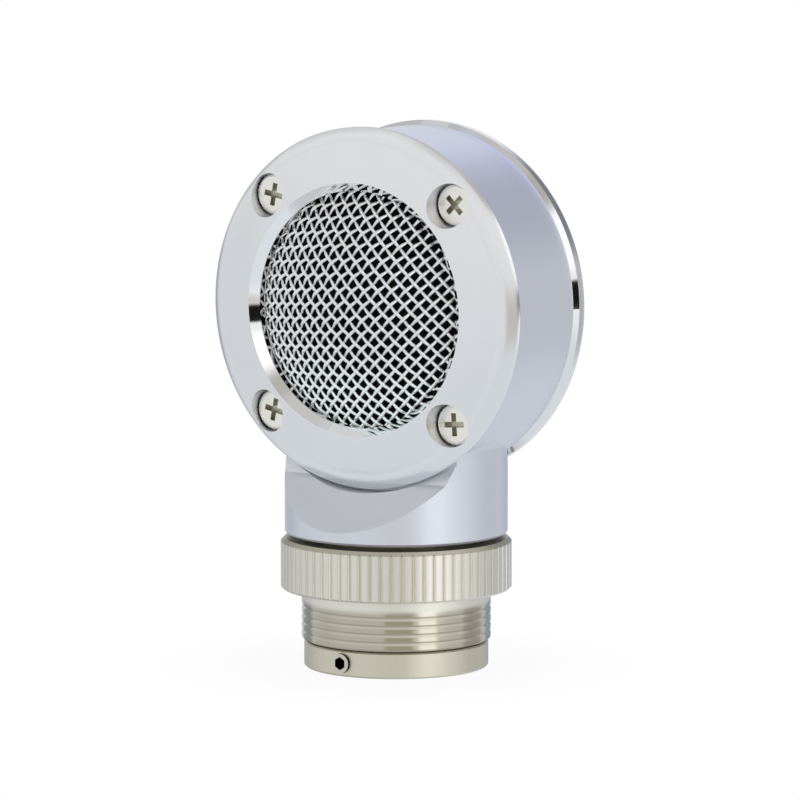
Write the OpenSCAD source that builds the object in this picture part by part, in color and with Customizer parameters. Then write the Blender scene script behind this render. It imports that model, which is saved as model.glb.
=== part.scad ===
// Side-address electret microphone capsule head: a round head with a crowned
// grille frame and a domed wire grille on each side, on a short stem with a
// loose knurled coupling ring. Millimetres; +Z up, front towards -Y, origin at
// the centre of the bottom face.

/* [Head] */
// Height of the head's centre above the bottom face
head_z = 37.6; // [36.5:0.1:44]
// Depth of the round band between the two frame seats
band_depth = 10; // [9.8:0.1:14]
// Distance of the head's middle plane behind the stem's axis
head_offset = 0.4; // [0:0.05:0.6]
// Step from the grille opening out to the bore through the band
cavity_step = 0.45; // [0.3:0.05:0.8]

/* [Grille frame] */
// Clear diameter of the grille opening
opening_d = 24.3; // [22:0.1:27]
// Width of the bright bevel around the opening
bevel_w = 0.85; // [0.5:0.05:1.4]
// Depth of that bevel
bevel_depth = 0.85; // [0.4:0.05:1.1]
// Width of the crowned face, from the bevel's crest to the rim
face_w = 5.55; // [5.2:0.05:7.5]
// Height of the crest above the seat
frame_h = 3.35; // [3.1:0.05:4]
// Radius of the face's crown in section
crown_r = 22; // [12:0.5:40]
// Height of the flush foot under the rim
rim_foot = 0.1; // [0.05:0.05:0.7]
// Overhang of the rim beyond the band, with a chamfer of the same height
rim_step = 0.45; // [0.2:0.05:0.6]
// Height of the rim's straight land, before its edge is rounded
rim_land = 1.15; // [0.7:0.05:1.3]
// Radius of the rim's rounded edge
rim_round = 0.6; // [0.1:0.05:0.7]

/* [Grille mesh] */
// Rise of the domed mesh over the opening
mesh_rise = 3.35; // [2.6:0.05:3.6]
// Height of the mesh's rim ring and of the dome's edge above the seat
mesh_edge_h = 1.75; // [1.4:0.05:1.85]
// Thickness of one wire layer
wire_t = 0.42; // [0.3:0.02:0.5]
// Width of one bar
bar_w = 0.55; // [0.4:0.05:0.8]
// Pitch of the bars
bar_pitch = 2.1; // [1.9:0.1:3.2]
// Depth by which the crossed layers are pressed into each other
weave_bite = 0.06; // [0.02:0.02:0.12]
// Width of the rim ring that the frame clamps
flange_w = 0.9; // [0.8:0.05:1.1]
// Overlap of the rim ring on the housing's face
flange_lap = 0.5; // [0.4:0.05:0.6]

/* [Foam] */
// Depth of the foam's back behind the frame seat
foam_back = 1.4; // [1.2:0.1:1.8]

/* [Screws] */
// Thread diameter of the frame screws
screw_d = 2; // [1.6:0.1:2.2]
// Diameter of the pan heads
head_d = 4.3; // [3.6:0.1:4.4]
// Height of the pan heads
head_h = 1.05; // [0.9:0.05:1.3]
// Rounding of the heads' upper edge
head_round = 0.4; // [0.2:0.05:0.6]
// Length of the screws under the head
screw_len = 3.6; // [2.6:0.1:4.2]
// Clearance of the heads in the frame's counterbores, on the radius
head_gap = 0.1; // [0.05:0.05:0.2]
// Height of the counterbores' floor above the seat
counterbore_floor = 0.35; // [0.2:0.05:0.5]
// Span of the cross recess
cross_span = 2.35; // [1.8:0.05:2.5]
// Width of the cross recess
cross_w = 0.58; // [0.4:0.02:0.7]
// Depth of the cross recess
cross_depth = 0.75; // [0.5:0.05:0.8]
// Turn of the four front screws, in degrees
front_turns = [-10, 45, 4, -12]; // [-90:1:90]

/* [Stem] */
// Diameter of the stem
stem_d = 23.05; // [22.4:0.05:25]
// Height of the stem's lower end
stem_z = 13.9; // [13.8:0.1:15]
// Chamfer at the stem's lower end
stem_chamfer = 0.25; // [0.1:0.05:0.5]
// Radius of the blend from the stem into the band
blend_r = 1.5; // [0.8:0.1:2.5]
// Height of the flats' upper crease above the frames' lowest point
crease_lift = 1; // [0.5:0.05:1.4]
// Distance of that crease in front of the frame seat
crease_step = 1.15; // [0.5:0.05:1.4]
// Slope of the flats below the crease, in degrees
flat_angle = 40.5; // [36:0.5:43]
// Slope of the steep faces above the crease, in degrees
steep_angle = 62; // [56:1:72]
// Gap between a frame's rim and its pocket in the stem
pocket_gap = 0.3; // [0.2:0.05:0.5]

/* [Neck tube] */
// Depth of the neck tube in the stem
neck_seat = 2.1; // [1.6:0.1:2.2]
// Diameter of the contact socket at the lower end
socket_d = 13.6; // [12.8:0.1:14]
// Depth of the contact socket
socket_depth = 5; // [4.5:0.1:5.6]
// Diameter of the bore above the contact block
upper_bore_d = 11.2; // [10.6:0.1:11.8]

/* [Coupling ring] */
// Running clearance of the ring on the neck tube, on the radius
ring_clearance = 0.05; // [0.02:0.01:0.08]
// Height of the ring's lower end
ring_z = 2.85; // [2.8:0.05:3]
// Height of the ring's upper end
ring_top = 13.42; // [13:0.02:13.5]
// Outer diameter of the knurl
knurl_d = 23.9; // [23.6:0.1:25.4]
// Height of the knurled band
knurl_h = 5.26; // [4.4:0.02:5.4]
// Chamfer at the knurl's upper end
knurl_chamfer = 0.4; // [0.2:0.05:0.6]
// Chamfer at the knurl's lower end
knurl_foot = 0.2; // [0.1:0.05:0.6]
// Number of ribs
knurl_count = 68; // [48:1:76]
// Depth of the grooves between the ribs
knurl_depth = 0.16; // [0.1:0.02:0.36]
// Width of these grooves
knurl_groove = 0.24; // [0.16:0.02:0.6]
// Wall of the ring from its bore out to the coupling thread's crests
thread_wall = 1.25; // [1.1:0.05:1.6]
// Pitch of the thread
thread_pitch = 0.85; // [0.7:0.01:0.9]
// Height of the lead-in below the first crest
thread_lead = 0.2; // [0.1:0.05:0.3]
// Depth of the thread
thread_depth = 0.28; // [0.2:0.02:0.4]
// Width of the flat crests
thread_crest = 0.42; // [0.2:0.02:0.5]
// Number of thread grooves
thread_count = 4; // [3:1:5]

/* [Retaining collar] */
// Diameter of the collar
collar_d = 19.1; // [18.8:0.1:19.3]
// Wall of the collar, up to the neck tube that it sits on
collar_wall = 1.05; // [0.95:0.05:1.2]
// Height of the collar
collar_h = 2.68; // [2.6:0.02:2.74]
// Chamfer at the collar's lower edge
collar_chamfer = 0.2; // [0.1:0.05:0.5]
// Chamfer at the collar's upper edge
collar_top_chamfer = 0.15; // [0.05:0.05:0.25]
// Diameter of the set screw
set_d = 2; // [1.6:0.1:2]
// Height of the set screw's axis
set_z = 1.4; // [1.3:0.05:1.5]
// Length of the set screw
set_len = 1.8; // [1.5:0.1:2]
// Height of its end above the collar's surface
set_proud = 0.35; // [0:0.05:0.4]
// Turn of the set screw about the upright axis, in degrees
set_turn = -1.6; // [-10:0.1:10]
// Width across flats of its hexagon socket
hex_af = 1.2; // [0.8:0.05:1.3]
// Depth of the hexagon socket
hex_depth = 1; // [0.6:0.1:1.2]

/* [Capsule] */
// Depth of the can
can_depth = 5.8; // [5.4:0.1:6]
// Wall of the can
can_wall = 0.5; // [0.4:0.05:0.7]
// Width of the lip around the sound opening in the can's front
can_lip = 2.5; // [1.8:0.1:3.6]
// Distance of the rubber mount from the can's front
mount_inset = 0.7; // [0.4:0.1:0.9]
// Width of the rubber mount
mount_w = 4.1; // [3.6:0.1:4.3]
// Wall of the rubber mount
mount_wall = 2.5; // [1.6:0.1:3.4]
// Thickness of the ring that carries the diaphragm
diaphragm_ring_t = 0.6; // [0.4:0.1:0.8]
// Thickness of the diaphragm
diaphragm_t = 0.1; // [0.08:0.02:0.16]
// Air gap between diaphragm and backplate
air_gap = 0.1; // [0.06:0.02:0.16]
// Thickness of the backplate
backplate_t = 1; // [0.8:0.1:1.2]
// Diameter of the backplate's vents
vent_d = 1; // [0.6:0.1:1.4]
// Radius of the circle of vents
vent_circle_r = 5.2; // [4:0.1:5.8]
// Number of vents
vent_count = 12; // [6:1:14]
// Wall of the insulating cup
cup_wall = 0.85; // [0.6:0.05:1]
// Floor of the insulating cup
cup_floor = 0.9; // [0.6:0.1:1.1]
// Width of the ring that closes the can
retainer_w = 3; // [2:0.1:3.6]
// Thickness of that ring
retainer_t = 1; // [0.8:0.1:1.3]
// Diameter of the signal terminal
terminal_d = 1.8; // [1.4:0.1:2.2]
// Length of the terminal beyond the can
terminal_proud = 0.4; // [0.3:0.05:0.5]

/* [Contacts and board] */
// Diameter of the insulating contact block
block_d = 12.6; // [12:0.1:12.7]
// Thickness of the contact block
block_t = 2.2; // [1.8:0.1:2.4]
// Diameter of the centre contact's face
contact_d = 4; // [3:0.1:5]
// Thickness of that face
contact_t = 0.6; // [0.4:0.1:0.8]
// Diameter of the contact's shank
shank_d = 2; // [1.6:0.1:2.6]
// Thickness of the circuit board
board_t = 1; // [0.8:0.1:1.6]
// Length, width and height of the transistor's body
transistor_size = [2.9, 1.5, 1]; // [0.8:0.1:3.2]
// Length, width and height of the resistor
resistor_size = [3.2, 1.6, 0.6]; // [0.5:0.1:3.4]
// Diameter of the two wires
lead_d = 0.6; // [0.4:0.05:0.7]
// Distance of each wire from the middle
lead_x = 1.1; // [0.9:0.05:1.2]
// Diameter of the wire passage
passage_d = 3.6; // [3.4:0.1:4]
// Distance of the wire passage behind the stem's axis
passage_y = 2.6; // [2.4:0.05:2.7]

/* [Hidden] */
$fn = 96;
// Clearance between pieces that are pushed together, on the radius
fit_gap = 0.02;
// Clearance of a loose or soft piece
soft_gap = 0.05;
// Clearance of a screw's shank in a plain hole
shank_gap = 0.1;
// Overrun of a cut through a face
cut = 1;
// Depth by which the stem's blend runs into the band
blend_bite = 0.02;
// Sides of a wire's section
lead_sides = 8;
// Number of steps along a rounded section
arc_steps = 6;
// Number of frame screws on one side
screw_count = 4;
// Angle of the first frame screw, in degrees
screw_angle = 135;

opening_r = opening_d / 2;
crest_r = opening_r + bevel_w;
frame_r = crest_r + face_w;
band_r = frame_r - rim_step;
screw_r = (crest_r + frame_r) / 2;
cavity_r = opening_r + cavity_step;
flange_r = cavity_r + flange_lap;
rebate_r = flange_r + soft_gap;
rebate_h = mesh_edge_h + fit_gap;
seat_front = head_offset - band_depth / 2;
seat_rear = head_offset + band_depth / 2;
rim_top = rim_foot + rim_step + rim_land;

// Centre of the crown's arc: through the crest and the rim's upper edge
chord = [frame_r - crest_r, rim_top - frame_h];
chord_len = norm(chord);
chord_normal = [chord[1], -chord[0]] / chord_len;
crown_c = [crest_r, frame_h] + chord / 2 + chord_normal * sqrt(pow(crown_r, 2) - pow(chord_len / 2, 2));
crown_start = atan2(frame_h - crown_c[1], crest_r - crown_c[0]);

// Centre of the rim's rounding: inside the crown's arc and the land
round_x = frame_r - rim_round - crown_c[0];
round_c = [frame_r - rim_round, crown_c[1] + sqrt(pow(crown_r - rim_round, 2) - pow(round_x, 2))];
crown_end = atan2(round_c[1] - crown_c[1], round_c[0] - crown_c[0]);

dome_r = (pow(opening_r, 2) + pow(mesh_rise, 2)) / (2 * mesh_rise);
dome_c = mesh_edge_h + mesh_rise - dome_r;
mesh_t = 2 * wire_t;
mesh_top = mesh_edge_h + mesh_rise;
flange_in_r = flange_r - flange_w;
bar_count = ceil(flange_r / bar_pitch);

stem_r = stem_d / 2;
crease_z = head_z - frame_r + crease_lift;
pocket_r = frame_r + pocket_gap;
collar_r = collar_d / 2;
neck_r = collar_r - collar_wall;
neck_top = stem_z + neck_seat;
set_end = set_len - set_proud - collar_r;
socket_r = socket_d / 2;
upper_bore_r = upper_bore_d / 2;
ring_r = neck_r + ring_clearance;
knurl_r = knurl_d / 2;
knurl_z = ring_top - knurl_h;
thread_r = ring_r + thread_wall;
thread_root = thread_r - thread_depth;
thread_z = ring_z + thread_lead;

// Blend circle: tangent to the stem, and running a little way into the band
blend_x = stem_r + blend_r;
blend_reach = band_r + blend_r - blend_bite;
blend_z = head_z - sqrt(pow(blend_reach, 2) - pow(blend_x, 2));
blend_end = asin((head_z - blend_z) / blend_reach);

mount_r = cavity_r - soft_gap;
can_r = mount_r - mount_wall - soft_gap;
can_front = seat_front + foam_back + soft_gap;
can_inner_r = can_r - can_wall;
stack_r = can_inner_r - fit_gap;
can_opening_r = can_r - can_lip;
ring_y = can_front + can_wall;
diaphragm_y = ring_y + diaphragm_ring_t;
cup_y = diaphragm_y + diaphragm_t;
cup_inner_r = stack_r - cup_wall;
backplate_y = cup_y + air_gap;
cup_floor_y = backplate_y + backplate_t;
retainer_y = can_front + can_depth - retainer_t;
terminal_end = can_front + can_depth + terminal_proud;

block_z = socket_depth;
board_z = block_z + block_t;
block_r = block_d / 2;
board_r = upper_bore_r - soft_gap;
board_top = board_z + board_t;
lead_r = lead_d / 2;
passage_r = passage_d / 2;

// Routes of the two wires: up the passage, then close behind the can
lead_rise_z = head_z - cavity_r - passage_d / 2;
signal_route = [
    [lead_x, passage_y, board_top],
    [lead_x, passage_y, lead_rise_z],
    [lead_x, terminal_end + lead_r + fit_gap, head_z - can_inner_r],
    [0, terminal_end + lead_r + fit_gap, head_z - terminal_d],
    [0, terminal_end + lead_r + fit_gap, head_z + terminal_d / 2]
];
ground_end_y = can_front + can_depth + lead_r + fit_gap;
ground_route = [
    [-lead_x, passage_y, board_top],
    [-lead_x, passage_y, lead_rise_z],
    [-lead_x, ground_end_y, head_z - can_r],
    [-lead_x, ground_end_y, head_z - can_inner_r + can_wall]
];

// Points along an arc in a section; from the second one on where a straight wall ends in its first one
function arc(c, r, a0, a1, n, first = 0) = [
    for (i = [first : n]) c + r * [cos(a0 + (a1 - a0) * i / n), sin(a0 + (a1 - a0) * i / n)]
];

// Ring of points around one point of a wire's route
function lead_ring(p) = [
    for (i = [0 : lead_sides - 1]) p + lead_r * [cos(360 * i / lead_sides), sin(360 * i / lead_sides), 0]
];

// Places a piece made on the XY plane on the head's front seat, facing out
module on_front() {
    translate([0, seat_front, head_z]) rotate([90, 0, 0]) children();
}

// Places it on the rear seat, facing out
module on_rear() {
    translate([0, seat_rear, head_z]) rotate([-90, 0, 0]) children();
}

// Places a piece on the head's axis at y, with its own axis towards the rear
module along_head(y) {
    translate([0, y, head_z]) rotate([-90, 0, 0]) children();
}

// Flat ring of thickness t
module washer(r_out, r_in, t) {
    difference() {
        cylinder(r = r_out, h = t);
        translate([0, 0, -cut]) cylinder(r = r_in, h = t + 2 * cut);
    }
}

// Puts a piece on the set screw's axis, from a place on it outwards
module on_set_axis(y) {
    rotate([0, 0, set_turn]) translate([0, y, set_z]) rotate([90, 0, 0]) children();
}

// One copy for each frame screw
module each_screw() {
    for (i = [0 : screw_count - 1]) {
        rotate(screw_angle - 360 / screw_count * i) translate([screw_r, 0, 0]) children();
    }
}

// Section of the frame ring: foot, chamfered rim, crowned face and bevel
module frame_section() {
    polygon(concat(
        [[rebate_r, 0], [band_r, 0], [band_r, rim_foot], [frame_r, rim_foot + rim_step], [frame_r, round_c[1]]],
        arc(round_c, rim_round, 0, crown_end, arc_steps, 1),
        arc(crown_c, crown_r, crown_end, crown_start, arc_steps),
        [[opening_r, frame_h - bevel_depth], [opening_r, rebate_h], [rebate_r, rebate_h]]
    ));
}

module grille_frame() {
    difference() {
        rotate_extrude() frame_section();
        each_screw() translate([0, 0, counterbore_floor]) cylinder(r = head_d / 2 + head_gap, h = frame_h);
        each_screw() translate([0, 0, -cut]) cylinder(r = screw_d / 2 + shank_gap, h = frame_h);
    }
}

// Spherical shell between two depths under the dome's outer face
module dome_shell(upper, lower) {
    difference() {
        translate([0, 0, dome_c]) sphere(r = dome_r - upper);
        translate([0, 0, dome_c]) sphere(r = dome_r - lower);
    }
}

// Parallel bars across the opening
module bars(turn) {
    rotate(turn) for (i = [-bar_count : bar_count]) {
        translate([i * bar_pitch, 0, 0]) square([bar_w, 2 * flange_r], center = true);
    }
}

// One layer of wires of the domed mesh
module wire_layer(turn, upper, lower) {
    intersection() {
        dome_shell(upper, lower);
        linear_extrude(mesh_top + mesh_t) intersection() {
            bars(turn);
            circle(r = flange_in_r + flange_w / 2);
        }
    }
}

module mesh_disc() {
    wire_layer(45, 0, wire_t + weave_bite);
    wire_layer(-45, wire_t, mesh_t);
    washer(flange_r, flange_in_r, mesh_edge_h);
}

// Foam disc: flat back, domed front close behind the mesh
module foam_disc() {
    foam_dome_r = dome_r - mesh_t - soft_gap;
    intersection() {
        translate([0, 0, dome_c]) sphere(r = foam_dome_r);
        translate([0, 0, -foam_back]) cylinder(r = flange_in_r - soft_gap, h = foam_back + mesh_top);
    }
}

// Cross recess of a screw head
module cross_recess() {
    cross_bar = [cross_span, cross_w, cross_depth + cut];
    translate([0, 0, cross_bar[2] / 2 - cross_depth]) cube(cross_bar, center = true);
    translate([0, 0, cross_bar[2] / 2 - cross_depth]) rotate(90) cube(cross_bar, center = true);
}

// Pan head screw, its shank downwards from the head's underside
module pan_screw() {
    head_r = head_d / 2;
    difference() {
        rotate_extrude() polygon(concat(
            [[0, -screw_len], [screw_d / 2, -screw_len], [screw_d / 2, 0], [head_r, 0]],
            arc([head_r - head_round, head_h - head_round], head_round, 0, 90, arc_steps),
            [[0, head_h]]
        ));
        translate([0, 0, head_h]) cross_recess();
    }
}

// The screws of one frame, each turned by its own angle
module frame_screws(turns) {
    for (i = [0 : screw_count - 1]) {
        rotate(screw_angle - 360 / screw_count * i)
            translate([screw_r, 0, counterbore_floor])
                rotate(turns[i] + 360 / screw_count * i - screw_angle)
                    pan_screw();
    }
}

// Tapped holes for the screws of one frame
module tapped_holes() {
    hole_h = screw_len - counterbore_floor + shank_gap;
    each_screw() translate([0, 0, -hole_h]) cylinder(r = screw_d / 2 + fit_gap, h = hole_h + cut);
}

// Section of the stem with the blend into the band
module stem_section() {
    polygon(concat(
        [[0, stem_z], [stem_r - stem_chamfer, stem_z], [stem_r, stem_z + stem_chamfer], [stem_r, blend_z]],
        arc([blend_x, blend_z], blend_r, 180, 180 - blend_end, arc_steps, 1),
        [[0, head_z]]
    ));
}

// Half of the stem's side view: steep face and sloped flat in front of one seat
function flat_side(seat, reach) = [
    [reach, stem_z - cut],
    [reach, crease_z - (reach - seat - crease_step) * tan(flat_angle)],
    [seat + crease_step, crease_z],
    [seat, crease_z + crease_step * tan(steep_angle)],
    [seat, head_z]
];

// Side view of the stem: upright between the seats, flats below both frames
module stem_side() {
    reach = stem_r + blend_r;
    front = flat_side(-seat_front, reach);
    polygon(concat(flat_side(seat_rear, reach), [for (i = [len(front) - 1 : -1 : 0]) [-front[i][0], front[i][1]]]));
}

module housing() {
    color([0.76, 0.78, 0.82]) difference() {
        union() {
            along_head(seat_front) cylinder(r = band_r, h = band_depth);
            intersection() {
                rotate_extrude() stem_section();
                rotate([90, 0, 90]) linear_extrude(2 * frame_r, center = true) stem_side();
            }
        }
        along_head(seat_front - cut) cylinder(r = cavity_r, h = band_depth + 2 * cut);
        on_front() cylinder(r = pocket_r, h = stem_d);
        on_rear() cylinder(r = pocket_r, h = stem_d);
        translate([0, 0, stem_z - cut]) cylinder(r = neck_r + fit_gap, h = neck_seat + fit_gap + cut);
        translate([0, passage_y, neck_top]) cylinder(r = passage_r, h = head_z - neck_top - can_r);
        on_front() tapped_holes();
        on_rear() tapped_holes();
    }
}

module neck_tube() {
    color([0.62, 0.58, 0.5]) difference() {
        cylinder(r = neck_r, h = neck_top);
        translate([0, 0, -cut]) cylinder(r = socket_r, h = socket_depth + cut);
        cylinder(r = block_r + fit_gap, h = board_z);
        cylinder(r = upper_bore_r, h = neck_top + cut);
        on_set_axis(set_end + shank_gap) cylinder(r = set_d / 2 + fit_gap, h = neck_r);
    }
}

// Section of the ring's threaded sleeve: crests and grooves, plain shoulder above
module sleeve_section() {
    tooth = [[thread_r, 0], [thread_r, thread_crest], [thread_root, (thread_crest + thread_pitch) / 2]];
    shoulder_z = thread_z + thread_count * thread_pitch;
    polygon(concat(
        [[ring_r, ring_z], [thread_root, ring_z]],
        [for (i = [0 : thread_count - 1], p = tooth) [p[0], thread_z + i * thread_pitch + p[1]]],
        [[thread_r, shoulder_z], [thread_r, knurl_z + cut], [ring_r, knurl_z + cut]]
    ));
}

// Outline of the knurl: a disc with straight grooves, which leave flat ribs
module knurl_outline() {
    groove = [[-knurl_depth, 0], [knurl_depth, knurl_groove], [knurl_depth, -knurl_groove]];
    difference() {
        circle(r = knurl_r);
        for (i = [0 : knurl_count - 1]) {
            rotate(360 / knurl_count * i) translate([knurl_r, 0]) polygon(groove);
        }
    }
}

module coupling_ring() {
    color([0.78, 0.76, 0.7]) difference() {
        union() {
            rotate_extrude() sleeve_section();
            intersection() {
                translate([0, 0, knurl_z]) linear_extrude(knurl_h) knurl_outline();
                rotate_extrude() polygon([
                    [0, knurl_z], [knurl_r - knurl_foot, knurl_z], [knurl_r, knurl_z + knurl_foot],
                    [knurl_r, ring_top - knurl_chamfer], [knurl_r - knurl_chamfer, ring_top], [0, ring_top]
                ]);
            }
        }
        translate([0, 0, ring_z - cut]) cylinder(r = ring_r, h = ring_top - ring_z + 2 * cut);
    }
}

module retaining_collar() {
    inner_r = neck_r + fit_gap;
    color([0.8, 0.77, 0.68]) difference() {
        rotate_extrude() polygon([
            [inner_r, 0], [collar_r - collar_chamfer, 0], [collar_r, collar_chamfer],
            [collar_r, collar_h - collar_top_chamfer], [collar_r - collar_top_chamfer, collar_h], [inner_r, collar_h]
        ]);
        on_set_axis(0) cylinder(r = set_d / 2 + fit_gap, h = collar_r + cut);
    }
}

module collar_set_screw() {
    color([0.5, 0.48, 0.44]) on_set_axis(set_end) difference() {
        cylinder(d = set_d, h = set_len);
        translate([0, 0, set_len - hex_depth]) rotate(30) cylinder(d = hex_af / cos(30), h = hex_depth + cut, $fn = 6);
    }
}

module front_grille_frame() {
    color([0.86, 0.87, 0.87]) on_front() grille_frame();
}

module rear_grille_frame() {
    color([0.86, 0.87, 0.87]) on_rear() grille_frame();
}

module front_mesh() {
    color([0.84, 0.85, 0.86]) on_front() mesh_disc();
}

module rear_mesh() {
    color([0.84, 0.85, 0.86]) on_rear() mesh_disc();
}

module front_foam() {
    color([0.05, 0.05, 0.05]) on_front() foam_disc();
}

module rear_foam() {
    color([0.05, 0.05, 0.05]) on_rear() foam_disc();
}

module front_screws() {
    color([0.82, 0.8, 0.76]) on_front() frame_screws(front_turns);
}

module rear_screws() {
    color([0.82, 0.8, 0.76]) on_rear() frame_screws(-front_turns);
}

// Rubber ring between the capsule and the bore
module capsule_mount() {
    color([0.1, 0.1, 0.1]) along_head(can_front + mount_inset) {
        washer(mount_r, mount_r - mount_wall, mount_w);
    }
}

module capsule_can() {
    color([0.8, 0.8, 0.78]) along_head(can_front) difference() {
        cylinder(r = can_r, h = can_depth);
        translate([0, 0, can_wall]) cylinder(r = can_inner_r, h = can_depth);
        translate([0, 0, -cut]) cylinder(r = can_opening_r, h = can_depth);
    }
}

module diaphragm_ring() {
    color([0.8, 0.68, 0.4]) along_head(ring_y) washer(stack_r, can_opening_r, diaphragm_ring_t);
}

module diaphragm() {
    color([0.85, 0.75, 0.5]) along_head(diaphragm_y) cylinder(r = stack_r, h = diaphragm_t);
}

module backplate() {
    color([0.75, 0.65, 0.4]) along_head(backplate_y) difference() {
        cylinder(r = cup_inner_r - fit_gap, h = backplate_t);
        for (i = [0 : vent_count - 1]) {
            rotate(360 / vent_count * i) translate([vent_circle_r, 0, -cut]) {
                cylinder(d = vent_d, h = backplate_t + 2 * cut);
            }
        }
    }
}

// Cup that keeps the backplate clear of the can
module backplate_insulator() {
    cup_floor_h = cup_floor_y - cup_y;
    color([0.9, 0.9, 0.88]) along_head(cup_y) difference() {
        cylinder(r = stack_r, h = retainer_y - cup_y);
        translate([0, 0, -cut]) cylinder(r = cup_inner_r, h = cup_floor_h + cut);
        translate([0, 0, cup_floor_h + cup_floor]) cylinder(r = cup_inner_r, h = can_depth);
        translate([0, 0, -cut]) cylinder(r = terminal_d / 2 + fit_gap, h = can_depth);
    }
}

module capsule_retainer() {
    color([0.7, 0.62, 0.42]) along_head(retainer_y) washer(stack_r, stack_r - retainer_w, retainer_t);
}

module signal_terminal() {
    color([0.85, 0.72, 0.4]) along_head(cup_floor_y) cylinder(d = terminal_d, h = terminal_end - cup_floor_y);
}

module contact_block() {
    color([0.88, 0.87, 0.82]) translate([0, 0, block_z]) difference() {
        cylinder(r = block_r, h = block_t);
        translate([0, 0, -cut]) cylinder(r = contact_d / 2 + fit_gap, h = contact_t + cut);
        translate([0, 0, -cut]) cylinder(r = shank_d / 2 + fit_gap, h = block_t + 2 * cut);
    }
}

module centre_contact() {
    color([0.86, 0.72, 0.35]) translate([0, 0, block_z]) {
        cylinder(d = contact_d, h = contact_t);
        cylinder(d = shank_d, h = block_t);
    }
}

module circuit_board() {
    color([0.1, 0.4, 0.2]) translate([0, 0, board_z]) cylinder(r = board_r, h = board_t);
}

// Small three-legged transistor on the board
module transistor() {
    leg = [transistor_size[1] / 4, transistor_size[1] * 2, transistor_size[2] / 4];
    color([0.08, 0.08, 0.08]) translate([0, -upper_bore_r / 2, board_top]) {
        translate([-transistor_size[0] / 2, -transistor_size[1] / 2, 0]) cube(transistor_size);
        translate([-leg[0] / 2, 0, 0]) cube([leg[0], leg[1] / 2, leg[2]]);
        for (side = [-1, 1]) {
            translate([side * transistor_size[0] / 3 - leg[0] / 2, -leg[1] / 2, 0]) cube([leg[0], leg[1] / 2, leg[2]]);
        }
    }
}

// Small block resistor with end caps
module resistor() {
    cap = resistor_size[0] / 6;
    over = resistor_size[2] / 12;
    color([0.2, 0.2, 0.25]) translate([0, resistor_size[1] / 2, board_top]) {
        translate([-resistor_size[0] / 2, -resistor_size[1] / 2, over]) cube(resistor_size - [0, 0, over]);
        for (side = [-1, 1]) {
            translate([side * (resistor_size[0] - cap) / 2, 0, (resistor_size[2] + over) / 2])
                cube([cap, resistor_size[1] + over, resistor_size[2] + over], center = true);
        }
    }
}

// Wire swept along a route that rises all the way
module lead(route) {
    last = (len(route) - 1) * lead_sides;
    polyhedron(
        points = [for (p = route) each lead_ring(p)],
        faces = concat(
            [[for (i = [0 : lead_sides - 1]) i]],
            [[for (i = [lead_sides - 1 : -1 : 0]) last + i]],
            [for (k = [0 : len(route) - 2], i = [0 : lead_sides - 1])
                let (a = k * lead_sides + i, b = k * lead_sides + (i + 1) % lead_sides)
                    [a, a + lead_sides, b + lead_sides, b]]
        )
    );
}

module signal_wire() {
    color([0.8, 0.2, 0.15]) lead(signal_route);
}

module ground_wire() {
    color([0.1, 0.1, 0.1]) lead(ground_route);
}

housing();
neck_tube();
coupling_ring();
retaining_collar();
collar_set_screw();
front_grille_frame();
rear_grille_frame();
front_mesh();
rear_mesh();
front_foam();
rear_foam();
front_screws();
rear_screws();
capsule_mount();
capsule_can();
diaphragm_ring();
diaphragm();
backplate();
backplate_insulator();
capsule_retainer();
signal_terminal();
contact_block();
centre_contact();
circuit_board();
transistor();
resistor();
signal_wire();
ground_wire();
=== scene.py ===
import math

import bpy
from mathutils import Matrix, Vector, noise


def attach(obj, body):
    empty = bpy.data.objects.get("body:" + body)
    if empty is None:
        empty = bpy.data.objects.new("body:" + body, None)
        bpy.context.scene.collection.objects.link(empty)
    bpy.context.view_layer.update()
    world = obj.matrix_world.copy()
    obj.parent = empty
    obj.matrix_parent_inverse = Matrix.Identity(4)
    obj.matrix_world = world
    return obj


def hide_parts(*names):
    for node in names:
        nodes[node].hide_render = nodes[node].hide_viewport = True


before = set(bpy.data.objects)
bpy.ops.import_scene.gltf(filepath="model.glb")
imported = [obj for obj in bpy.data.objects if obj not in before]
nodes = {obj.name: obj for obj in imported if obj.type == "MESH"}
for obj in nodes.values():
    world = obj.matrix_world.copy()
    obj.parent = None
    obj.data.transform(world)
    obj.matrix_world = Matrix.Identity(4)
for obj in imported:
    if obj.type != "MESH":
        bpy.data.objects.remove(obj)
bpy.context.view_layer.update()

MM = 0.001

# Sizes of the head, in millimetres, as in the part
HEAD_Z = 37.6
SEAT_FRONT = -4.6
SEAT_REAR = 5.4
OPENING_R = 12.15
CREST_R = 13.0
FRAME_R = 18.55
RIM_STEP = 0.55
RIM_LAND = 1.7
SCREW_XZ = 11.155
SCREW_TOP = 1.4
COUNTERBORE_R = 2.25
SET_END = -9.9
THREAD_TOP = 6.45
KNURL_FOOT = 8.16
KNURL_TOP = 13.02
KNURL_COUNT = 68

# Shading of the knurl, from the middle of a rib (0) to the middle of a groove (1)
RIB_FLAT = 0.35
GROOVE_FROM, GROOVE_TO = 0.77, 0.80
RIB_ROUND = 0.13

# Share of their slope that the thread's flanks and the ring's upper chamfer keep in the shading
FLANK_SHARE = 0.14
CHAMFER_SHARE = 0.3

# Soft round of the frame's front edge: its width, and its turns in degrees over face, edge and land
ROUND_WIDTH = 1.7
FACE_TURN, EDGE_TURN, LAND_TURN = 20.0, 15.0, 11.0

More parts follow.
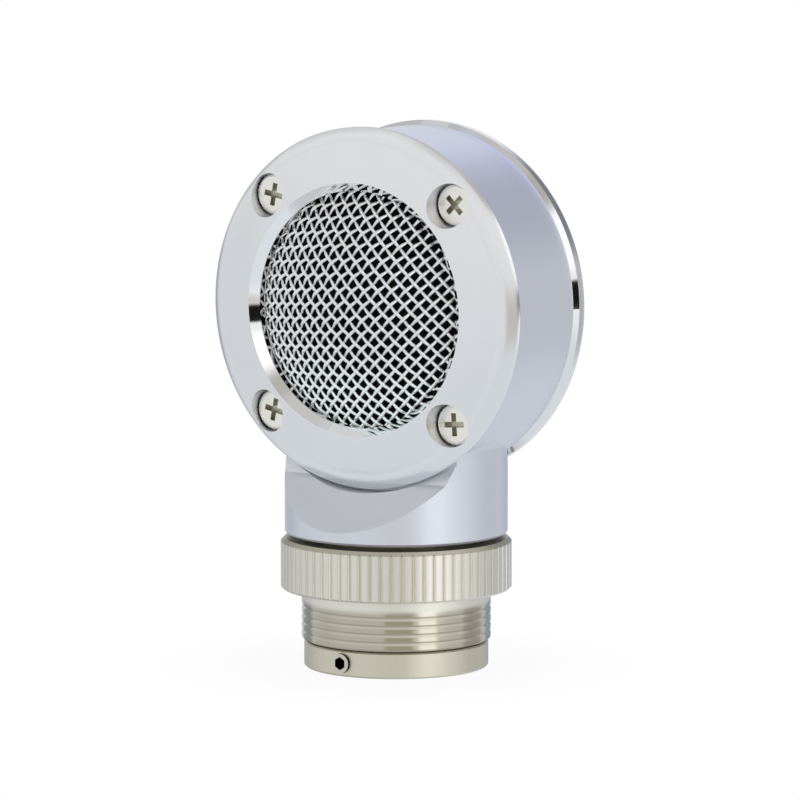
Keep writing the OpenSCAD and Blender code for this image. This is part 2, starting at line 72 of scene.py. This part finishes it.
# Woven wire: middle surface of the dome, and the lattice of its gaps when the disc is laid flat
DOME_R = 23.36
DOME_TOP = 4.82
GAP_AT = Vector((6.74, 0.19))
FALL_STEP, FALL_TURN = 0.978, math.radians(-45.05)
RISE_STEP, RISE_TURN = 1.144, math.radians(44.48)
WIRE_R = 0.2
FALL_CRIMP = 0.09
RISE_CRIMP = 0.2
WIRE_ARC = 13.05
RING_IN = 12.2
RING_OUT = 13.1
RING_FOOT = 0.02
RING_H = 1.75
RING_SIDES = 96
WIRE_COUNT = 24
WIRE_SIDES = 8
STEPS_PER_GAP = 10

# Foam disc behind each mesh: flat back, domed and pitted front
FOAM_R = 12.1
FOAM_BACK = -1.38
FOAM_DOME_R = 22.8
FOAM_TOP = 4.18
PORE_SIZE = 0.55
PORE_DEPTH = 0.3
PORE_PLANE = 7.0
FOAM_RINGS = 64
FOAM_SIDES = 180


# Camera

AZIMUTH = math.radians(34.19)
ELEVATION = math.radians(7.24)
DISTANCE = 0.6095
TARGET = Vector((0, 0, 0.025))
SENSOR, LENS = 36, 265.8
SHIFT_X, SHIFT_Y = 0.0047, 0.0312


def make_camera():
    data = bpy.data.cameras.new("camera")
    data.sensor_width = SENSOR
    data.lens = LENS
    data.shift_x = SHIFT_X
    data.shift_y = SHIFT_Y
    data.clip_start = 0.01
    data.clip_end = 20
    cam = bpy.data.objects.new("camera", data)
    bpy.context.scene.collection.objects.link(cam)
    back = Vector((
        math.sin(AZIMUTH) * math.cos(ELEVATION),
        -math.cos(AZIMUTH) * math.cos(ELEVATION),
        math.sin(ELEVATION),
    ))
    cam.location = TARGET + back * DISTANCE
    cam.rotation_mode = "QUATERNION"
    cam.rotation_quaternion = (-back).to_track_quat("-Z", "Y")
    bpy.context.scene.camera = cam


# Node helpers


class Tree:
    """Short calls for building a node tree."""

    def __init__(self, tree):
        self.tree = tree
        tree.nodes.clear()

    def add(self, kind, **inputs):
        n = self.tree.nodes.new(kind)
        for key, value in inputs.items():
            self.put(n, key, value)
        return n

    def put(self, n, key, value):
        socket = n.inputs[key] if isinstance(key, int) else n.inputs[key.replace("_", " ")]
        if isinstance(value, bpy.types.NodeSocket):
            self.tree.links.new(value, socket)
        else:
            socket.default_value = value

    def math(self, op, a, b=None):
        n = self.tree.nodes.new("ShaderNodeMath")
        n.operation = op
        self.put(n, 0, a)
        if b is not None:
            self.put(n, 1, b)
        return n.outputs[0]

    def vmath(self, op, a, b=None):
        n = self.tree.nodes.new("ShaderNodeVectorMath")
        n.operation = op
        self.put(n, 0, a)
        if b is not None:
            self.put(n, 1, b)
        return n.outputs["Value"] if op in ("DOT_PRODUCT", "LENGTH") else n.outputs["Vector"]

    def step(self, value, lo, hi, to_lo=0.0, to_hi=1.0):
        n = self.tree.nodes.new("ShaderNodeMapRange")
        n.interpolation_type = "SMOOTHSTEP"
        self.put(n, 0, value)
        for i, v in enumerate((lo, hi, to_lo, to_hi)):
            self.put(n, i + 1, v)
        return n.outputs[0]

    def mix(self, fac, a, b):
        n = self.tree.nodes.new("ShaderNodeMix")
        n.data_type = "RGBA"
        self.put(n, 0, fac)
        self.put(n, 6, a)
        self.put(n, 7, b)
        return n.outputs[2]

    def blend(self, fac, a, b):
        n = self.tree.nodes.new("ShaderNodeMix")
        n.data_type = "FLOAT"
        self.put(n, 0, fac)
        self.put(n, 2, a)
        self.put(n, 3, b)
        return n.outputs[0]

    def lean(self, fac, a, b):
        n = self.tree.nodes.new("ShaderNodeMix")
        n.data_type = "VECTOR"
        self.put(n, 0, fac)
        self.put(n, 4, a)
        self.put(n, 5, b)
        return n.outputs[1]

    def noise(self, vector, scale, detail=2.0, rough=0.5):
        n = self.tree.nodes.new("ShaderNodeTexNoise")
        self.put(n, "Vector", vector)
        self.put(n, "Scale", scale)
        self.put(n, "Detail", detail)
        self.put(n, "Roughness", rough)
        return n.outputs["Fac"]

    def bump(self, height, strength, distance):
        n = self.tree.nodes.new("ShaderNodeBump")
        self.put(n, "Strength", strength)
        self.put(n, "Distance", distance)
        self.put(n, "Height", height)
        return n.outputs["Normal"]


def rgb(r, g, b):
    return (r, g, b, 1.0)


def material(name):
    """New material with one shader: the material, its tree, the shader and the part's coordinates in mm."""
    mat = bpy.data.materials.new(name)
    mat.use_nodes = True
    t = Tree(mat.node_tree)
    out = t.add("ShaderNodeOutputMaterial")
    bsdf = t.add("ShaderNodeBsdfPrincipled")
    t.put(out, "Surface", bsdf.outputs[0])
    coord = t.add("ShaderNodeTexCoord")
    place = t.vmath("SCALE", coord.outputs["Object"])
    place.node.inputs["Scale"].default_value = 1 / MM
    return mat, t, bsdf, place


def parts(t, vector):
    n = t.add("ShaderNodeSeparateXYZ")
    t.put(n, 0, vector)
    return n.outputs[0], n.outputs[1], n.outputs[2]


def combine(t, x, y, z):
    n = t.add("ShaderNodeCombineXYZ")
    for i, v in enumerate((x, y, z)):
        t.put(n, i, v)
    return n.outputs[0]


def head_radius(t, place):
    """Distance from the head's axis, in mm."""
    x, _, z = parts(t, place)
    return t.vmath("LENGTH", combine(t, x, 0.0, t.math("SUBTRACT", z, HEAD_Z)))


def screw_radius(t, place):
    """Distance from the nearest of the four screw axes, in mm."""
    x, _, z = parts(t, place)
    ax = t.math("SUBTRACT", t.math("ABSOLUTE", x), SCREW_XZ)
    az = t.math("SUBTRACT", t.math("ABSOLUTE", t.math("SUBTRACT", z, HEAD_Z)), SCREW_XZ)
    return t.vmath("LENGTH", combine(t, ax, 0.0, az))


def pale(t, place, colour, spread, scale):
    """Colour with a slow, slight variation."""
    n = t.noise(place, scale, 3.0, 0.6)
    dark = [c * (1 - spread) for c in colour]
    light = [min(1.0, c * (1 + spread)) for c in colour]
    return t.mix(n, rgb(*dark), rgb(*light))


def spread_over(t, value, lo, hi):
    """Spreads the usual range of a noise over a range of roughness."""
    return t.step(value, 0.3, 0.7, lo, hi)


def turned_rings(t, z):
    """Noise in fine rings about the upright axis."""
    return t.noise(combine(t, 0.0, 0.0, z), 14.0, 3.0, 0.7)


# Materials


def satin_silver():
    mat, t, bsdf, place = material("satin_silver")
    t.put(bsdf, "Metallic", 0.7)
    t.put(bsdf, "Base Color", pale(t, place, (0.70, 0.72, 0.765), 0.015, 0.25))
    fine = t.noise(place, 9.0, 4.0, 0.65)
    t.put(bsdf, "Roughness", spread_over(t, fine, 0.38, 0.44))
    t.put(bsdf, "Normal", t.bump(fine, 0.03, 0.00003))
    return mat


def frame_silver():
    """Satin face, polished bevel and under-chamfer; the front edge is shaded as one soft round."""
    mat, t, bsdf, place = material("frame_silver")
    t.put(bsdf, "Metallic", 1.0)
    x, y, z = parts(t, place)
    r = head_radius(t, place)
    height = t.math("MAXIMUM", t.math("SUBTRACT", SEAT_FRONT, y), t.math("SUBTRACT", y, SEAT_REAR))
    front = t.step(y, 0.5, -0.5)
    bevel = t.step(r, CREST_R + 0.10, CREST_R - 0.03)
    rim = t.step(r, FRAME_R - 1.0, FRAME_R - 0.4)
    under = t.math("MULTIPLY", rim, t.step(height, RIM_STEP + 0.08, RIM_STEP))
    inner = t.step(r, OPENING_R + 0.06, OPENING_R + 0.02)
    satin = pale(t, place, (0.80, 0.81, 0.825), 0.015, 0.3)
    edge = t.mix(rim, satin, rgb(0.80, 0.81, 0.83))
    bright = t.mix(bevel, edge, rgb(0.86, 0.87, 0.88))
    # The opening's inner wall is painted a darker grey than the face: painted shade inside the opening.
    t.put(bsdf, "Base Color", t.mix(inner, bright, rgb(0.6, 0.6, 0.6)))
    fine = t.noise(place, 11.0, 4.0, 0.65)
    rough = t.blend(rim, spread_over(t, fine, 0.27, 0.33), t.blend(front, 0.13, 0.2))
    t.put(bsdf, "Roughness", t.blend(t.math("MAXIMUM", bevel, under), rough, 0.05))
    flat = t.math("SUBTRACT", 1.0, t.math("MAXIMUM", bevel, rim))
    grain = t.bump(t.math("MULTIPLY", fine, flat), 0.03, 0.00003)
    over_face = t.step(r, FRAME_R - ROUND_WIDTH, FRAME_R - 0.6, 0.0, FACE_TURN)
    over_edge = t.step(height, RIM_LAND + 0.6, RIM_LAND, 0.0, EDGE_TURN)
    over_land = t.step(height, RIM_LAND, RIM_STEP, 0.0, LAND_TURN)
    angle = t.math("RADIANS", t.math("ADD", over_face, t.math("ADD", over_edge, over_land)))
    share = t.math("DIVIDE", t.math("SINE", angle), r)
    soft = combine(t, t.math("MULTIPLY", x, share), t.math("MULTIPLY", t.math("COSINE", angle), -1.0),
                   t.math("MULTIPLY", t.math("SUBTRACT", z, HEAD_Z), share))
    bored = t.step(screw_radius(t, place), COUNTERBORE_R + 0.05, COUNTERBORE_R + 0.01)
    where = t.math("MULTIPLY", front, t.step(r, FRAME_R - ROUND_WIDTH, FRAME_R - 1.3))
    where = t.math("MULTIPLY", where, t.math("SUBTRACT", 1.0, bored))
    t.put(bsdf, "Normal", t.vmath("NORMALIZE", t.lean(where, grain, soft)))
    return mat


def turned_nickel(name, colour, rough):
    """Turned metal with slight rings about the upright axis."""
    mat, t, bsdf, place = material(name)
    t.put(bsdf, "Metallic", 1.0)
    z = parts(t, place)[2]
    rings = turned_rings(t, z)
    t.put(bsdf, "Base Color", pale(t, place, colour, 0.02, 0.5))
    t.put(bsdf, "Roughness", spread_over(t, rings, rough - 0.03, rough + 0.03))
    return mat


def neck_tube_nickel():
    """Painted shade: darker above the coupling ring, where the neck shows in the gap under the housing;
    plain inside and under it.
    """
    mat, t, bsdf, place = material("neck_nickel")
    t.put(bsdf, "Metallic", 1.0)
    z = parts(t, place)[2]
    bare = pale(t, place, (0.60, 0.56, 0.46), 0.03, 0.5)
    # Darker above the ring: painted shade of the gap under the housing.
    t.put(bsdf, "Base Color", t.mix(t.step(z, KNURL_FOOT, KNURL_TOP), bare, rgb(0.46, 0.43, 0.33)))
    rings = turned_rings(t, z)
    t.put(bsdf, "Roughness", spread_over(t, rings, 0.37, 0.43))
    return mat


def coupling_nickel():
    """Pale knurl with painted shade towards its grooves and painted light in them, a shoulder painted paler
    as painted reflection, an upper chamfer painted darker as painted shade, and a thread painted darker
    with painted light and shade on its flanks.
    """
    mat, t, bsdf, place = material("coupling_nickel")
    t.put(bsdf, "Metallic", 1.0)
    x, y, z = parts(t, place)
    shape = t.add("ShaderNodeNewGeometry")
    nx, ny, nz = parts(t, shape.outputs["Normal"])
    thread = t.step(z, THREAD_TOP + 0.06, THREAD_TOP)
    thread_zone = t.step(z, THREAD_TOP + 0.8, THREAD_TOP + 0.05)
    # Thread painted darker than the knurl, with painted light on the flanks that face up and painted shade
    # on those that face down.
    thread_painted_shading = t.mix(t.step(nz, 0.2, 0.5), rgb(0.50, 0.47, 0.38), rgb(0.53, 0.505, 0.425))
    thread_painted_shading = t.mix(t.step(nz, -0.2, -0.5), thread_painted_shading, rgb(0.40, 0.375, 0.29))
    shoulder = t.step(z, KNURL_FOOT + 0.02, KNURL_FOOT - 0.02)
    ribs = t.math("MULTIPLY", t.math("ARCTAN2", y, x), KNURL_COUNT / (2 * math.pi))
    turn = t.math("FRACT", ribs)
    side = t.math("SUBTRACT", t.math("MULTIPLY", turn, 2.0), 1.0)
    off = t.math("ABSOLUTE", side)
    plain = pale(t, place, (0.77, 0.75, 0.67), 0.03, 0.6)
    # Ribs painted darker towards their grooves as painted shade, and the grooves painted paler as painted
    # light.
    plain = t.mix(t.step(off, RIB_FLAT, GROOVE_TO), plain, rgb(0.60, 0.58, 0.51))
    plain = t.mix(t.step(off, GROOVE_FROM, GROOVE_TO), plain, rgb(0.80, 0.78, 0.69))
    # Shoulder painted paler than the knurl: painted reflection of the floor below it.
    plain = t.mix(shoulder, plain, rgb(0.84, 0.82, 0.74))
    chamfer = t.step(z, KNURL_TOP - 0.05, KNURL_TOP + 0.05)
    # Upper chamfer painted darker: painted shade under the housing.
    plain = t.mix(chamfer, plain, rgb(0.43, 0.41, 0.335))
    t.put(bsdf, "Base Color", t.mix(thread_zone, plain, thread_painted_shading))
    rings = turned_rings(t, z)
    turned = spread_over(t, rings, 0.38, 0.44)
    turned = t.blend(shoulder, turned, 0.48)
    t.put(bsdf, "Roughness", t.blend(thread_zone, turned, 0.12))
    kept = t.blend(chamfer, t.blend(thread, 1.0, FLANK_SHARE), CHAMFER_SHARE)
    upright = t.math("MULTIPLY", nz, kept)
    rib = t.math("MULTIPLY", t.step(off, GROOVE_TO, GROOVE_FROM), t.step(z, KNURL_FOOT, KNURL_FOOT + 0.02))
    rib = t.math("MULTIPLY", rib, t.blend(chamfer, 1.0, 0.0))
    round_off = t.math("MULTIPLY", t.math("MULTIPLY", side, rib), RIB_ROUND)
    across = t.math("SUBTRACT", nx, t.math("MULTIPLY", round_off, ny))
    along = t.math("ADD", ny, t.math("MULTIPLY", round_off, nx))
    t.put(bsdf, "Normal", t.vmath("NORMALIZE", combine(t, across, along, upright)))
    return mat


def screw_nickel():
    """Warm nickel, with painted shade in the cross recesses of the four screw heads of each side."""
    mat, t, bsdf, place = material("screw_nickel")
    t.put(bsdf, "Metallic", 1.0)
    y = parts(t, place)[1]
    r = screw_radius(t, place)
    middle = (SEAT_FRONT + SEAT_REAR) / 2
    depth = t.math("ABSOLUTE", t.math("SUBTRACT", y, middle))
    out = t.math("SUBTRACT", depth, SEAT_REAR - middle + SCREW_TOP)
    recess = t.math("MULTIPLY", t.step(r, 1.3, 1.2), t.step(out, -0.03, -0.3))
    colour = pale(t, place, (0.87, 0.85, 0.79), 0.03, 0.9)
    # Recesses painted darker: painted shade.
    t.put(bsdf, "Base Color", t.mix(recess, colour, rgb(0.46, 0.44, 0.36)))
    fine = t.noise(place, 8.0, 4.0, 0.6)
    t.put(bsdf, "Roughness", spread_over(t, fine, 0.22, 0.32))
    t.put(bsdf, "Normal", t.bump(fine, 0.06, 0.00005))
    return mat


def set_screw_steel():
    """Steel whose side is painted dark as painted shadow and whose socket is painted black as painted
    shade; only the outer end is bright.
    """
    mat, t, bsdf, place = material("set_screw_steel")
    t.put(bsdf, "Metallic", 1.0)
    y = parts(t, place)[1]
    end = t.step(y, SET_END + 0.12, SET_END + 0.04)
    colour = pale(t, place, (0.62, 0.60, 0.52), 0.05, 0.9)
    # All but the outer end painted near black: painted shadow on the side, painted shade in the socket.
    t.put(bsdf, "Base Color", t.mix(end, rgb(0.012, 0.011, 0.009), colour))
    fine = t.noise(place, 8.0, 3.0, 0.6)
    t.put(bsdf, "Roughness", spread_over(t, fine, 0.28, 0.36))
    return mat


def wire_metal():
    mat, t, bsdf, place = material("wire_metal")
    t.put(bsdf, "Metallic", 1.0)
    fine = t.noise(place, 6.0, 3.0, 0.6)
    z = parts(t, place)[2]
    # Wire painted paler towards the bottom of the dome: painted light.
    low = t.step(z, HEAD_Z - 2, HEAD_Z - 11)
    drawn = t.mix(fine, rgb(0.80, 0.81, 0.81), rgb(0.86, 0.87, 0.87))
    t.put(bsdf, "Base Color", t.mix(low, drawn, rgb(0.92, 0.97, 0.97)))
    t.put(bsdf, "Roughness", spread_over(t, fine, 0.2, 0.32))
    return mat


def soft_black(name, colour, scale):
    mat, t, bsdf, place = material(name)
    cells = t.add("ShaderNodeTexVoronoi", Vector=place, Scale=scale)
    depth = cells.outputs["Distance"]
    t.put(bsdf, "Base Color", t.mix(depth, rgb(*colour), rgb(*[c * 2.2 for c in colour])))
    t.put(bsdf, "Roughness", t.step(depth, 0.0, 1.0, 0.95, 0.8))
    t.put(bsdf, "Specular IOR Level", 0.15)
    t.put(bsdf, "Normal", t.bump(depth, 0.6, 0.0002))
    return mat


def plain_metal(name, colour, rough):
    mat, t, bsdf, place = material(name)
    t.put(bsdf, "Metallic", 1.0)
    fine = t.noise(place, 6.0, 4.0, 0.6)
    t.put(bsdf, "Base Color", pale(t, place, colour, 0.05, 0.8))
    t.put(bsdf, "Roughness", spread_over(t, fine, rough - 0.05, rough + 0.06))
    t.put(bsdf, "Normal", t.bump(fine, 0.06, 0.00005))
    return mat


def moulded(name, colour, rough):
    mat, t, bsdf, place = material(name)
    fine = t.noise(place, 7.0, 4.0, 0.6)
    t.put(bsdf, "Base Color", pale(t, place, colour, 0.06, 0.7))
    t.put(bsdf, "Roughness", spread_over(t, fine, rough - 0.06, rough + 0.06))
    t.put(bsdf, "Normal", t.bump(fine, 0.12, 0.00005))
    return mat


# Pieces of the two grilles


def on_seat(side):
    """Gives the placing of a grille's points: across, up, and height above its seat, in mm."""
    seat = SEAT_FRONT if side < 0 else SEAT_REAR
    mirror = 1 if side < 0 else -1

    def place(u, v, h):
        return Vector((u * mirror, seat + side * h, HEAD_Z + v)) * MM

    return place


def new_piece(name, verts, faces):
    mesh = bpy.data.meshes.new(name)
    mesh.from_pydata(verts, [], faces)
    mesh.validate()
    piece = bpy.data.objects.new(name, mesh)
    bpy.context.scene.collection.objects.link(piece)
    return piece


def weave_points(start, along, step, index, crimp, place):
    """Centre line of one wire on the dome, bent over and under the wires it crosses."""
    reach = start.dot(along)
    half = math.sqrt(max(reach ** 2 - start.length_squared + WIRE_ARC ** 2, 0.0))
    steps = max(8, int(2 * half / step * STEPS_PER_GAP))
    points = []
    for k in range(steps + 1):
        s = -reach - half + 2 * half * k / steps
        flat = start + along * s
        arc = flat.length / DOME_R
        wave = math.cos(math.pi * (s / step - 0.5 + index))
        radius = DOME_R + crimp * wave
        spread = radius * math.sin(arc) / max(flat.length, 1e-6)
        height = DOME_TOP - DOME_R + radius * math.cos(arc)
        points.append(place(flat.x * spread, flat.y * spread, height))
    return points


def sweep(points, radius, sides, verts, faces):
    """Adds a closed tube along the points."""
    base = len(verts)
    count = len(points)
    normal = None
    for k, p in enumerate(points):
        a = points[max(k - 1, 0)]
        b = points[min(k + 1, count - 1)]
        tangent = (b - a).normalized()
        if normal is None:
            normal = tangent.orthogonal().normalized()
        normal = (normal - tangent * normal.dot(tangent)).normalized()
        other = tangent.cross(normal)
        for i in range(sides):
            turn = 2 * math.pi * i / sides
            verts.append(p + (normal * math.cos(turn) + other * math.sin(turn)) * radius)
    for k in range(count - 1):
        for i in range(sides):
            j = (i + 1) % sides
            faces.append((base + k * sides + i, base + k * sides + j,
                          base + (k + 1) * sides + j, base + (k + 1) * sides + i))
    faces.append(tuple(base + i for i in reversed(range(sides))))
    faces.append(tuple(base + (count - 1) * sides + i for i in range(sides)))


def woven_mesh(name, side):
    """Domed plain weave at about 45 degrees, in the rim ring that the frame clamps."""
    place = on_seat(side)
    fall = Vector((math.cos(FALL_TURN), math.sin(FALL_TURN)))
    rise = Vector((math.cos(RISE_TURN), math.sin(RISE_TURN)))
    verts, faces = [], []
    for i in range(-WIRE_COUNT, WIRE_COUNT):
        for along, step, other, pitch, crimp in ((fall, FALL_STEP, rise, RISE_STEP, FALL_CRIMP),
                                                 (rise, RISE_STEP, fall, FALL_STEP, -RISE_CRIMP)):
            start = GAP_AT + other * pitch * (i + 0.5)
            if abs(start.dot(along.orthogonal())) < WIRE_ARC - WIRE_R:
                points = weave_points(start, along, step, i, crimp, place)
                sweep(points, WIRE_R * MM, WIRE_SIDES, verts, faces)
    section = ((RING_IN, RING_FOOT), (RING_OUT, RING_FOOT), (RING_OUT, RING_H), (RING_IN, RING_H))
    base = len(verts)
    verts.extend(place(math.cos(a) * r, math.sin(a) * r, h)
                 for a in (2 * math.pi * k / RING_SIDES for k in range(RING_SIDES))
                 for r, h in section)
    for k in range(RING_SIDES):
        m = (k + 1) % RING_SIDES
        for i in range(4):
            j = (i + 1) % 4
            faces.append((base + 4 * k + i, base + 4 * m + i, base + 4 * m + j, base + 4 * k + j))
    piece = new_piece(name, verts, faces)
    piece.data.shade_smooth()
    return piece


def foam_pad(name, side):
    """Open-cell foam disc with a pitted dome."""
    place = on_seat(side)
    turns = [2 * math.pi * k / FOAM_SIDES for k in range(FOAM_SIDES)]
    verts = [place(0, 0, FOAM_TOP), place(0, 0, FOAM_BACK)]
    for i in range(1, FOAM_RINGS + 1):
        r = FOAM_R * i / FOAM_RINGS
        for a in turns:
            u, v = r * math.cos(a), r * math.sin(a)
            pore = abs(noise.noise(Vector((u, v, PORE_PLANE * side)) / PORE_SIZE))
            dome = FOAM_TOP - FOAM_DOME_R + math.sqrt(FOAM_DOME_R ** 2 - r ** 2)
            verts.append(place(u, v, dome - PORE_DEPTH * pore))
    verts.extend(place(FOAM_R * math.cos(a), FOAM_R * math.sin(a), FOAM_BACK) for a in turns)
    rim, foot = 2 + (FOAM_RINGS - 1) * FOAM_SIDES, 2 + FOAM_RINGS * FOAM_SIDES
    faces = []
    for k in range(FOAM_SIDES):
        m = (k + 1) % FOAM_SIDES
        faces.append((0, 2 + k, 2 + m))
        for i in range(FOAM_RINGS - 1):
            a, b = 2 + i * FOAM_SIDES, 2 + (i + 1) * FOAM_SIDES
            faces.append((a + k, b + k, b + m, a + m))
        faces.append((foot + k, foot + m, rim + m, rim + k))
        faces.append((1, foot + m, foot + k))
    return new_piece(name, verts, faces)


# Studio


def direction(azimuth, elevation):
    a, e = math.radians(azimuth), math.radians(elevation)
    return (math.sin(a) * math.cos(e), -math.cos(a) * math.cos(e), math.sin(e))


# Floor, and the range in metres over which the part's shadow on it fades
FLOOR_HALF = 12.0
SHADE_NEAR, SHADE_FAR, SHADE_WHITE = 0.008, 0.03, 0.9
LAMP_AIM = Vector((0, 0, 0.03))

# Soft patches of the studio that the metal mirrors: azimuth, elevation, inner and outer half angle, colour
PATCHES = (
    (160, 70, 20, 50, (0.80, 0.87, 1.30)),
    (165, 26, 9, 30, (0.23, 0.24, 0.27)),
    (190, -7, 8, 22, (0.37, 0.45, 0.59)),
    (142, -8, 10, 24, (0.52, 0.52, 0.54)),
    (95, 36, 14, 28, (1.25, 1.25, 1.25)),
    (75, 0, 12, 30, (1.05, 1.05, 1.05)),
    (30, -6, 8, 12, (0.60, 0.58, 0.53)),
    (45, -6, 8, 12, (0.60, 0.58, 0.53)),
    (78, -25, 9, 14, (1.18, 1.18, 1.17)),
    (73, 13, 9, 14, (1.40, 1.40, 1.38)),
    (73, -6, 9, 14, (1.70, 1.71, 1.78)),
    (60, 26, 11, 18, (1.22, 1.22, 1.21)),
    (38, 54, 8, 18, (0.52, 0.50, 0.45)),
    (56, 1, 5, 7, (0.01, 0.01, 0.01)),
    (5, 68, 10, 22, (0.62, 0.61, 0.59)),
    (-80, 55, 12, 30, (0.58, 0.58, 0.58)),
    (-60, -80, 10, 24, (0.62, 0.63, 0.65)),
    (-103, -56, 10, 24, (0.48, 0.49, 0.51)),
    (-116, -30, 10, 22, (0.42, 0.43, 0.46)),
    (-103, 24, 10, 22, (0.48, 0.49, 0.51)),
    (-106, -6, 8, 20, (0.42, 0.44, 0.50)),
    (-64, -7, 8, 26, (0.77, 0.79, 0.81)),
)


def make_world():
    world = bpy.data.worlds.new("studio")
    bpy.context.scene.world = world
    world.use_nodes = True
    t = Tree(world.node_tree)
    out = t.add("ShaderNodeOutputWorld")
    coord = t.add("ShaderNodeTexCoord")
    ray = coord.outputs["Generated"]
    z = parts(t, ray)[2]
    colour = t.mix(t.step(z, -0.45, 0.25), rgb(0.80, 0.83, 0.87), rgb(0.90, 0.90, 0.895))
    for azimuth, elevation, inner, outer, value in PATCHES:
        dot = t.vmath("DOT_PRODUCT", ray, direction(azimuth, elevation))
        fac = t.step(dot, math.cos(math.radians(outer)), math.cos(math.radians(inner)))
        colour = t.mix(fac, colour, rgb(*value))
    light = t.add("ShaderNodeBackground", Color=colour, Strength=1.0)
    white = t.add("ShaderNodeBackground", Color=rgb(1, 1, 1), Strength=1.0)
    path = t.add("ShaderNodeLightPath")
    mixer = t.add("ShaderNodeMixShader")
    t.put(mixer, 0, path.outputs["Is Camera Ray"])
    t.put(mixer, 1, light.outputs[0])
    t.put(mixer, 2, white.outputs[0])
    t.put(out, "Surface", mixer.outputs[0])


def make_floor():
    mesh = bpy.data.meshes.new("floor")
    corners = ((-1, -1), (1, -1), (1, 1), (-1, 1))
    mesh.from_pydata([(x * FLOOR_HALF, y * FLOOR_HALF, 0) for x, y in corners], [], [(0, 1, 2, 3)])
    floor = bpy.data.objects.new("floor", mesh)
    bpy.context.scene.collection.objects.link(floor)
    mat = bpy.data.materials.new("floor")
    mat.use_nodes = True
    t = Tree(mat.node_tree)
    out = t.add("ShaderNodeOutputMaterial")
    pale_floor = t.add("ShaderNodeBsdfDiffuse", Color=rgb(0.9, 0.9, 0.9))
    white = t.add("ShaderNodeEmission", Color=rgb(1, 1, 1), Strength=1.0)
    clear = t.add("ShaderNodeBsdfTransparent")
    coord = t.add("ShaderNodeTexCoord")
    path = t.add("ShaderNodeLightPath")
    away = t.vmath("LENGTH", coord.outputs["Object"])
    far = t.step(away, SHADE_NEAR, SHADE_FAR, SHADE_WHITE, 1.0)
    seen = t.add("ShaderNodeMixShader")
    t.put(seen, 0, t.math("MULTIPLY", path.outputs["Is Camera Ray"], far))
    t.put(seen, 1, pale_floor.outputs[0])
    t.put(seen, 2, white.outputs[0])
    mirrored = t.add("ShaderNodeMixShader")
    through = t.math("MAXIMUM", path.outputs["Is Glossy Ray"], path.outputs["Is Transmission Ray"])
    t.put(mirrored, 0, through)
    t.put(mirrored, 1, seen.outputs[0])
    t.put(mirrored, 2, clear.outputs[0])
    t.put(out, "Surface", mirrored.outputs[0])
    mesh.materials.append(mat)


def make_lamp(name, azimuth, elevation, distance, size, power):
    data = bpy.data.lights.new(name, "AREA")
    data.shape = "DISK"
    data.size = size
    data.energy = power
    lamp = bpy.data.objects.new(name, data)
    bpy.context.scene.collection.objects.link(lamp)
    to = Vector(direction(azimuth, elevation))
    lamp.location = LAMP_AIM + to * distance
    lamp.rotation_mode = "QUATERNION"
    lamp.rotation_quaternion = to.to_track_quat("Z", "Y")


# Assembly of the looks


def dress(mat, *names):
    for name in names:
        slots = nodes[name].data.materials
        if len(slots):
            slots[0] = mat
        else:
            slots.append(mat)


make_camera()
make_world()
make_floor()
make_lamp("softbox", -60, 50, 0.6, 0.35, 0.04)

silver = satin_silver()
bezel = frame_silver()
ring_nickel = coupling_nickel()
collar_nickel = turned_nickel("collar_nickel", (0.68, 0.64, 0.525), 0.45)
neck_nickel = neck_tube_nickel()
screws = screw_nickel()
wire = wire_metal()

dress(silver, "housing")
dress(bezel, "front_grille_frame", "rear_grille_frame")
dress(ring_nickel, "coupling_ring")
dress(collar_nickel, "retaining_collar")
dress(neck_nickel, "neck_tube")
dress(set_screw_steel(), "collar_set_screw")
dress(screws, "front_screws", "rear_screws")
dress(wire, "front_mesh", "rear_mesh")
foam = soft_black("foam", (0.004, 0.004, 0.004), 3.0)
dress(foam, "front_foam", "rear_foam")
dress(soft_black("rubber", (0.02, 0.02, 0.02), 9.0), "capsule_mount")
dress(plain_metal("can_metal", (0.72, 0.72, 0.70), 0.35), "capsule_can")
brass = plain_metal("brass", (0.78, 0.62, 0.32), 0.3)
dress(brass, "diaphragm_ring", "backplate", "capsule_retainer", "signal_terminal")
dress(plain_metal("contact_gold", (0.86, 0.68, 0.32), 0.2), "centre_contact")
dress(plain_metal("film", (0.80, 0.70, 0.45), 0.15), "diaphragm")
dress(moulded("insulator", (0.80, 0.79, 0.72), 0.45), "backplate_insulator", "contact_block")
dress(moulded("board", (0.03, 0.14, 0.06), 0.4), "circuit_board")
black = moulded("black_plastic", (0.02, 0.02, 0.02), 0.45)
dress(black, "transistor", "resistor", "ground_wire")
dress(moulded("red_lead", (0.45, 0.02, 0.015), 0.4), "signal_wire")

for name, side, node in (("front_weave", -1, "front_mesh"), ("rear_weave", 1, "rear_mesh")):
    weave = woven_mesh(name, side)
    weave.data.materials.append(wire)
    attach(weave, "head")
    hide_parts(node)

for name, side, node in (("front_foam_disc", -1, "front_foam"), ("rear_foam_disc", 1, "rear_foam")):
    pad = foam_pad(name, side)
    pad.data.materials.append(foam)
    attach(pad, "head")
    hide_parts(node)

bpy.context.scene.view_settings.view_transform = "Standard"
